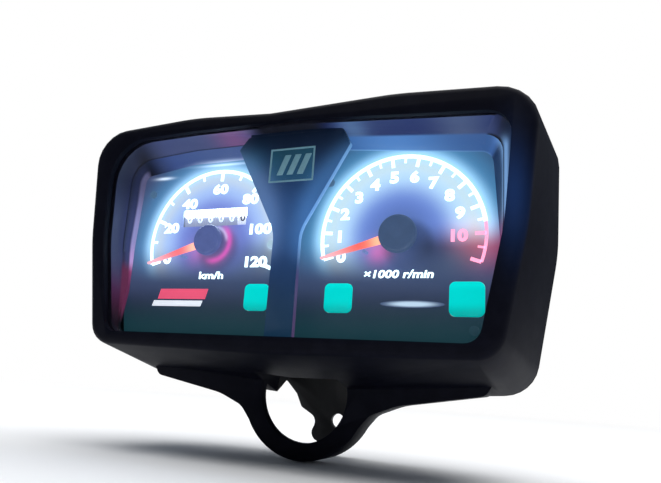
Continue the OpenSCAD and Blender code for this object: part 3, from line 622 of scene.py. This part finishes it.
FINISHES = {
    "black_plastic": cover_finish(),
    "rear_plastic": moulded("rear_plastic", (0.010, 0.010, 0.013), 0.55, 0.7 * MM, 0.05 * MM, 0.3),
    "mask_plastic": mask_finish(),
    "panel_plastic": panel_finish(),
    "badge_ink": badge_finish(),
    "speedo_print": speedo_face(),
    "tach_print": tach_face(),
    "lamp_green": lamp_lens_finish(),
    "white_plastic": moulded("white_plastic", (0.78, 0.78, 0.75), 0.5, 0.5 * MM, 0.02 * MM),
    "speedo_needle": needle_finish("speedo_needle", SPEEDO, (0.90, 0.18, 0.23)),
    "tach_needle": needle_finish("tach_needle", TACH, (0.92, 0.14, 0.12)),
    "cap_black": cap_finish(),
    "rubber": rubber_finish(),
    "bulb_glass": bulb_finish(),
    "die_cast": metal("die_cast", (0.46, 0.47, 0.48), 0.5),
    "spun_aluminium": metal("spun_aluminium", (0.72, 0.73, 0.74), 0.3, streak=(1, 12, 1)),
    "ferrite": metal("ferrite", (0.07, 0.07, 0.08), 0.6),
    "zinc_steel": metal("zinc_steel", (0.55, 0.56, 0.55), 0.32, streak=(1, 6, 1)),
    "spring_bronze": metal("spring_bronze", (0.50, 0.30, 0.12), 0.3),
    "brass": metal("brass", (0.62, 0.44, 0.16), 0.32, streak=(8, 1, 1)),
    "drum_black": drum_finish("drum_black", (0.05, 0.055, 0.07), (0.32, 0.37, 0.54)),
    "drum_white": drum_finish("drum_white", (0.8, 0.8, 0.78), (0.42, 0.46, 0.52)),
    "small_metal": small_metal_finish(),
    "bracket_steel": moulded("bracket_steel", (0.015, 0.015, 0.017), 0.42, 0.9 * MM, 0.04 * MM),
}
PRINT_WHITE = lit_print("print_white", (0.8, 0.85, 0.85), (0.72, 0.98, 1.0), 1.9).material
PRINT_PALE = lit_print("print_pale", (0.8, 0.82, 0.85), (0.70, 0.73, 0.78), 0.95).material
PRINT_RED = lit_print("print_red", (0.8, 0.05, 0.08), (0.66, 0.085, 0.17), 1.0).material
PRINT_PINK = lit_print("print_pink", (0.9, 0.3, 0.4), (1.0, 0.34, 0.52), 1.3).material
DRUM_PRINT = lit_print("drum_print", (0.85, 0.87, 0.9), (0.72, 0.85, 0.95), 1.0).material
DRUM_DARK_PRINT = lit_print("drum_dark_print", (0.02, 0.02, 0.03), (0.10, 0.10, 0.15), 1.0).material
GUIDE_LIGHT = lit_print("guide_light", (0.9, 0.95, 1.0), (0.80, 0.95, 1.0), 14.0).material

MATERIALS = {name: finish.material for name, finish in FINISHES.items()}
MATERIALS["clear_lens"] = lens_finish()

OWN_FINISH = {"centre_panel": "panel_plastic", "speedo_dial": "speedo_print", "tach_dial": "tach_print",
              "speedo_needle": "speedo_needle", "tach_needle": "tach_needle", "dial_screws": "small_metal",
              "stop_pins": "small_metal"}


def soft_bar_finish():
    """A printed bar that fades out towards its ends and edges."""
    f = Finish("print_soft", (0.06, 0.08, 0.12), 0.5)
    x = (f.at("X") - SOFT_BAR.x) / SOFT_HALF.x
    z = (f.at("Z") - SOFT_BAR.z) / SOFT_HALF.z
    inside = 1 - (x * x + z * z).power(0.5).rise(0.35, 1.0)
    f.glow(0.064 * (1 - inside), (0.8, 1.3, 2.6))
    f.glow(inside, (0.55, 0.72, 0.86))
    return f.material


PRINT_SOFT = soft_bar_finish()


def slot_of(node):
    """The material slot that the record gives a CAD node."""
    return next(part["material_slot"] for part in frame["record"]["subparts"] if part["node"] == node)


def finish_of(node):
    """The material of a CAD node: its slot's finish, or one of its own."""
    return MATERIALS[OWN_FINISH.get(node, slot_of(node))]


def finish_cad_nodes():
    """Puts the finishes on the CAD nodes that are carried over."""
    for node, obj in frame["nodes"].items():
        for slot in obj.material_slots:
            slot.material = finish_of(node)


# ---------- mesh helpers ----------

class Mesh:
    """Gathers solids into one piece."""

    def __init__(self):
        self.bm = bmesh.new()

    def prism(self, outline, front, back):
        """An outline of (x, z) points, clockwise or not, made solid between two depths."""
        near, far = ([self.bm.verts.new((x, y, z)) for x, z in outline] for y in (front, back))
        self.bm.faces.new(near)
        self.bm.faces.new(far[::-1])
        for i in range(len(outline)):
            self.bm.faces.new((near[i], near[i - 1], far[i - 1], far[i]))

    def band(self, hub, inner, outer, start, end, front, back, steps=48):
        """A flat curved strip about a hub, between two angles in degrees."""
        rows = []
        for k in range(steps + 1):
            angle = math.radians(start + (end - start) * k / steps)
            c, s = math.cos(angle), math.sin(angle)
            rows.append([self.bm.verts.new((hub.x + r * c, y, hub.z + r * s))
                         for r, y in ((inner, front), (outer, front), (outer, back), (inner, back))])
        for a, b in zip(rows, rows[1:]):
            for i in range(4):
                self.bm.faces.new((a[i], b[i], b[(i + 1) % 4], a[(i + 1) % 4]))
        self.bm.faces.new(rows[0])
        self.bm.faces.new(rows[-1][::-1])

    def helix(self, x, z, radius, start, end, pitch, ridge, steps=28):
        """A thread's ridge about an axis along Y, from its start to its end depth."""
        count = round((end - start) / pitch * steps)
        rows = []
        for k in range(count + 1):
            angle, y = 2 * math.pi * k / steps, start + pitch * k / steps
            c, s = math.cos(angle), math.sin(angle)
            rise = ridge * min(1, k / steps, (count - k) / steps)
            rows.append([self.bm.verts.new((x + r * c, y + dy, z + r * s))
                         for r, dy in ((radius - 0.1 * MM, -0.42 * pitch), (radius + rise, 0),
                                       (radius - 0.1 * MM, 0.42 * pitch))])
        for a, b in zip(rows, rows[1:]):
            for i in range(3):
                self.bm.faces.new((a[i], a[(i + 1) % 3], b[(i + 1) % 3], b[i]))
        self.bm.faces.new(rows[0][::-1])
        self.bm.faces.new(rows[-1])

    def wrap(self, radius, axis_y, axis_z):
        """Bends what lies on the plane y = 0 round a drum whose axis runs along X."""
        for v in self.bm.verts:
            angle, r = v.co.z / radius, radius - v.co.y
            v.co.y, v.co.z = axis_y - r * math.cos(angle), axis_z + r * math.sin(angle)

    def words(self, text, height, at, thickness=PRINT_T, bold=0.0, lean=0.0, wide=1.0):
        """Figures of a height, upright on the XZ plane and centred on a point."""
        curve = bpy.data.curves.new("figures", "FONT")
        curve.body, curve.shear, curve.offset = text, lean, bold
        curve.extrude = 0.5
        curve.resolution_u = 3
        shape = bpy.data.objects.new("figures", curve)
        bpy.context.scene.collection.objects.link(shape)
        mesh = bpy.data.meshes.new_from_object(shape.evaluated_get(bpy.context.evaluated_depsgraph_get()))
        bpy.data.objects.remove(shape)
        bpy.data.curves.remove(curve)
        xs, ys = [v.co.x for v in mesh.vertices], [v.co.y for v in mesh.vertices]
        size = height / (max(ys) - min(ys))
        mesh.transform(Matrix.Translation((-(max(xs) + min(xs)) / 2, -(max(ys) + min(ys)) / 2, 0)))
        mesh.transform(Matrix.Diagonal((size * wide, size, thickness, 1)))
        mesh.transform(Matrix.Rotation(math.radians(90), 4, "X"))
        mesh.transform(Matrix.Translation(at))
        self.bm.from_mesh(mesh)
        bpy.data.meshes.remove(mesh)

    def piece(self, name, material, slot, body=HOUSING):
        """Makes the gathered solids one flat-faced object that rides on a body."""
        bmesh.ops.recalc_face_normals(self.bm, faces=self.bm.faces)
        mesh = bpy.data.meshes.new(name)
        self.bm.to_mesh(mesh)
        self.bm.free()
        mesh.materials.append(material)
        mesh.shade_flat()
        obj = bpy.data.objects.new(name, mesh)
        bpy.context.scene.collection.objects.link(obj)
        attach(obj, body)


PRINT_FRONT = DIAL_FACE - PRINT_LIFT - PRINT_T
PRINT_BACK = DIAL_FACE - PRINT_LIFT
PRINT_MID = (PRINT_FRONT + PRINT_BACK) / 2


def printed_word(mesh, text, height, x, z, **style):
    """Figures or a unit, centred on a point of the dials."""
    mesh.words(text, height, (x, PRINT_MID, z), **style)


def tick(mesh, dial, value, length, width):
    """One radial mark, inwards from the scale line."""
    a, b = on_dial(dial, value, SCALE_R - length), on_dial(dial, value, SCALE_R)
    along = (b - a).normalized()
    side = Vector((along.z, 0, -along.x)) * width / 2
    mesh.prism([(p.x, p.z) for p in (a - side, b - side, b + side, a + side)], PRINT_FRONT, PRINT_BACK)


def scale_line(mesh, dial, start, end, width=SCALE_W):
    """The outer arc between two scale values."""
    angles = [dial["zero"] - dial["step"] * v for v in (start, end)]
    mesh.band(dial["hub"], SCALE_R - width / 2, SCALE_R + width / 2, *angles, PRINT_FRONT, PRINT_BACK)


# ---------- CAD nodes with finished edges ----------

SMOOTH_BELOW = 38           # degrees between faces that shade as one


def refined(node, body, edge):
    """A copy of a CAD node's mesh with its round faces smooth and its hard edges rounded."""
    bm = bmesh.new()
    bm.from_mesh(frame["nodes"][node].data)
    bmesh.ops.remove_doubles(bm, verts=bm.verts, dist=0.001 * MM)
    bmesh.ops.dissolve_limit(bm, angle_limit=math.radians(0.6), verts=bm.verts, edges=bm.edges)
    if edge:
        hard = [e for e in bm.edges
                if len(e.link_faces) == 2 and e.calc_face_angle() > math.radians(SMOOTH_BELOW)]
        bmesh.ops.bevel(bm, geom=hard, offset=edge, segments=2, profile=0.5, affect="EDGES",
                        clamp_overlap=True)
    mesh = bpy.data.meshes.new(node + "_finished")
    bm.to_mesh(mesh)
    bm.free()
    mesh.shade_smooth()
    mesh.set_sharp_from_angle(angle=math.radians(SMOOTH_BELOW))
    mesh.materials.append(finish_of(node))
    obj = bpy.data.objects.new(node + "_finished", mesh)
    bpy.context.scene.collection.objects.link(obj)
    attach(obj, body)
    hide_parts(node)


def refine_nodes():
    """Everything that shows gets smooth round faces; the larger edges are rounded."""
    edges = {"top_cover": 0.30, "rear_case": 0.25, "mounting_bracket": 0.35, "mask": 0, "lens": 0.2,
             "centre_panel": 0.12, "emblem_badge": 0.05, "high_beam_lens": 0.35, "neutral_lens": 0.35,
             "turn_lens": 0.35, "case_gasket": 0, "case_screws": 0.12, "bulb_sockets": 0.3,
             "harness_grommet": 0.4, "speedo_union": 0.25, "tach_union": 0.25, "grommets": 0.5,
             "grommet_sleeves": 0.12, "mount_studs": 0.25, "mount_washers": 0.12, "mount_nuts": 0.25,
             "speedo_cap": 0, "tach_cap": 0, "speedo_needle": 0.1, "tach_needle": 0.1}
    body_of = {node: body for body, nodes in frame["record"]["behaviour"]["bodies"].items() for node in nodes}
    for node, edge in edges.items():
        refined(node, body_of[node], edge * MM)


# ---------- what is printed on the dials ----------

def speedo_scale():
    """Scale from 0 to 120 with its figures, some of them nudged clear of the odometer."""
    mesh = Mesh()
    scale_line(mesh, SPEEDO, 0, SPEEDO["marks"])
    for half in range(2 * SPEEDO["marks"] + 1):
        length, width = (4.6, 1.6) if half % 2 == 0 else (3.0, 1.1)
        tick(mesh, SPEEDO, half / 2, length * MM, width * MM)
    nudges = {1: (0, -1.0), 2: (-0.9, -2.0), 4: (1.6, 0), 5: (-0.3, -0.9)}    # in millimetres
    for k in range(SPEEDO["marks"] + 1):
        at = on_dial(SPEEDO, k, NUMBER_R)
        dx, dz = nudges.get(k, (0, 0))
        printed_word(mesh, str(20 * k), 4.9 * MM, at.x + dx * MM, at.z + dz * MM, bold=0.05, wide=1.3)
    printed_word(mesh, "km/h", 3.3 * MM, SPEEDO_HUB.x + 1 * MM, HUB_Z - 15 * MM, bold=0.03, wide=1.45)
    mesh.piece("speedo_scale", PRINT_WHITE, "dial_print")


def tach_scale():
    """Scale from 0 to 11 with its figures up to 10, pink in the red zone."""
    white, red = Mesh(), Mesh()
    scale_line(white, TACH, 0, RED_FROM)
    scale_line(red, TACH, RED_FROM, TACH["marks"], RED_W)
    for half in range(2 * TACH["marks"] + 1):
        length, width = (4.2, 1.4) if half % 2 == 0 else (2.8, 0.9)
        tick(red if half / 2 > RED_FROM else white, TACH, half / 2, length * MM, width * MM)
    nudges = {0: (-0.6, -1.2), 1: (-0.9, -1.1), 2: (-1.1, 0.2), 10: (-1.6, -0.6)}
    for k in range(TACH["marks"]):
        at = on_dial(TACH, k, NUMBER_R)
        dx, dz = nudges.get(k, (0, 0))
        printed_word(red if k > RED_FROM else white, str(k), 5 * MM, at.x + dx * MM, at.z + dz * MM,
                     bold=0.05, wide=1.2)
    printed_word(white, "×1000 r/min", 3.3 * MM, TACH_HUB.x - 0.3 * MM, HUB_Z - 15 * MM,
                 bold=0.03, lean=0.15, wide=1.3)
    white.piece("tach_scale", PRINT_WHITE, "dial_print")
    red.piece("tach_red_zone", PRINT_PINK, "dial_print")


def slanted_bar(x0, x1, z0, z1, slant):
    """Outline of a bar whose ends lean to the right."""
    x0, x1, z0, z1 = (v * MM for v in (x0, x1, z0, z1))
    slant *= MM
    return [(x0, HUB_Z + z0), (x1, HUB_Z + z0), (x1 + slant, HUB_Z + z1), (x0 + slant, HUB_Z + z1)]


def dial_stripes():
    """A red stripe over a white one on the left dial, and a soft bar on the right one."""
    red, white, soft = Mesh(), Mesh(), Mesh()
    red.prism(slanted_bar(-68.9, -43.8, -25.5, -21, 1.2), PRINT_FRONT, PRINT_BACK)
    white.prism(slanted_bar(-71.7, -45.8, -28.7, -26.2, 0.9), PRINT_FRONT, PRINT_BACK)
    red.piece("red_stripe", PRINT_RED, "dial_print")
    white.piece("white_stripe", PRINT_PALE, "dial_print")
    steps = 48
    angles = [2 * math.pi * k / steps for k in range(steps)]
    oval = [(SOFT_BAR.x + SOFT_HALF.x * math.cos(a), SOFT_BAR.z + SOFT_HALF.z * math.sin(a)) for a in angles]
    soft.prism(oval, PRINT_FRONT, PRINT_BACK)
    soft.piece("tach_soft_bar", PRINT_SOFT, "dial_print")


# ---------- odometer ----------

def odometer_figures():
    """The ten figures round each drum. The first drum is white with dark figures."""
    for k in range(1, DRUMS + 1):
        low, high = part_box(f"odometer_drum_{k}")
        radius = (high.z - low.z) / 2
        axis = (low + high) / 2
        mesh = Mesh()
        for digit in range(DIGITS):
            way_round = 2 * math.pi * radius * digit / DIGITS
            mesh.words(str(digit), 3.9 * MM, (axis.x, 0, way_round), thickness=0.04 * MM,
                       bold=0.03, wide=1.05)
        mesh.wrap(radius + 0.03 * MM, axis.y, axis.z)
        ink = DRUM_DARK_PRINT if k == 1 else DRUM_PRINT
        mesh.piece(f"odometer_figures_{k}", ink, "drum_white", body=f"drum_{k}")


def odometer_light_guide():
    """A lit strip behind the top of the odometer's window, with its lower corners cut off."""
    top = HUB_Z + ODOMETER_RISE + ODOMETER_H / 2 + 0.8 * MM
    foot = top - 4 * MM
    half, cut = ODOMETER_W / 2 - 0.2 * MM, 0.4 * MM
    left, right = ODOMETER_X - half, ODOMETER_X + half
    guide = Mesh()
    guide.prism([(left, top), (left, foot + cut), (left + 0.5 * MM, foot),
                 (right - 0.5 * MM, foot), (right, foot + cut), (right, top)],
                DIAL_FACE + 1.08 * MM, DIAL_FACE + 1.45 * MM)
    guide.piece("odometer_light_guide", GUIDE_LIGHT, "bulb_glass")


# ---------- details at the back ----------

def cable_threads():
    """Rolled threads on the two cable spigots."""
    for side, hub in (("speedo", SPEEDO_HUB), ("tach", TACH_HUB)):
        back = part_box(f"{side}_union")[1].y
        mesh = Mesh()
        mesh.helix(hub.x, hub.z, SPIGOT_R, back - 11.6 * MM, back - 0.8 * MM, pitch=1 * MM, ridge=0.28 * MM)
        mesh.piece(f"{side}_thread", MATERIALS["zinc_steel"], "zinc_steel")


def socket_terminals():
    """Two brass blades on each bulb socket, splayed towards their tips in three steps."""
    mesh = Mesh()
    half_w, half_t, reach = 1.2 * MM, 0.25 * MM, 3.2 * MM
    root = SOCKET_BACK - 0.2 * MM
    for x, socket_z in SOCKETS:
        for side in (-1, 1):
            for start, end, splay in ((0, 0.55, 0), (0.5, 0.8, 0.12), (0.75, 1, 0.32)):
                z = socket_z + side * (2.2 + splay) * MM
                blade = [(x - half_w, z - half_t), (x + half_w, z - half_t),
                         (x + half_w, z + half_t), (x - half_w, z + half_t)]
                mesh.prism(blade, root + start * reach, root + end * reach)
    mesh.piece("socket_terminals", MATERIALS["brass"], "brass")


# ---------- the whole ----------

make_camera()
make_surroundings()
finish_cad_nodes()
refine_nodes()
speedo_scale()
tach_scale()
dial_stripes()
odometer_figures()
odometer_light_guide()
cable_threads()
socket_terminals()
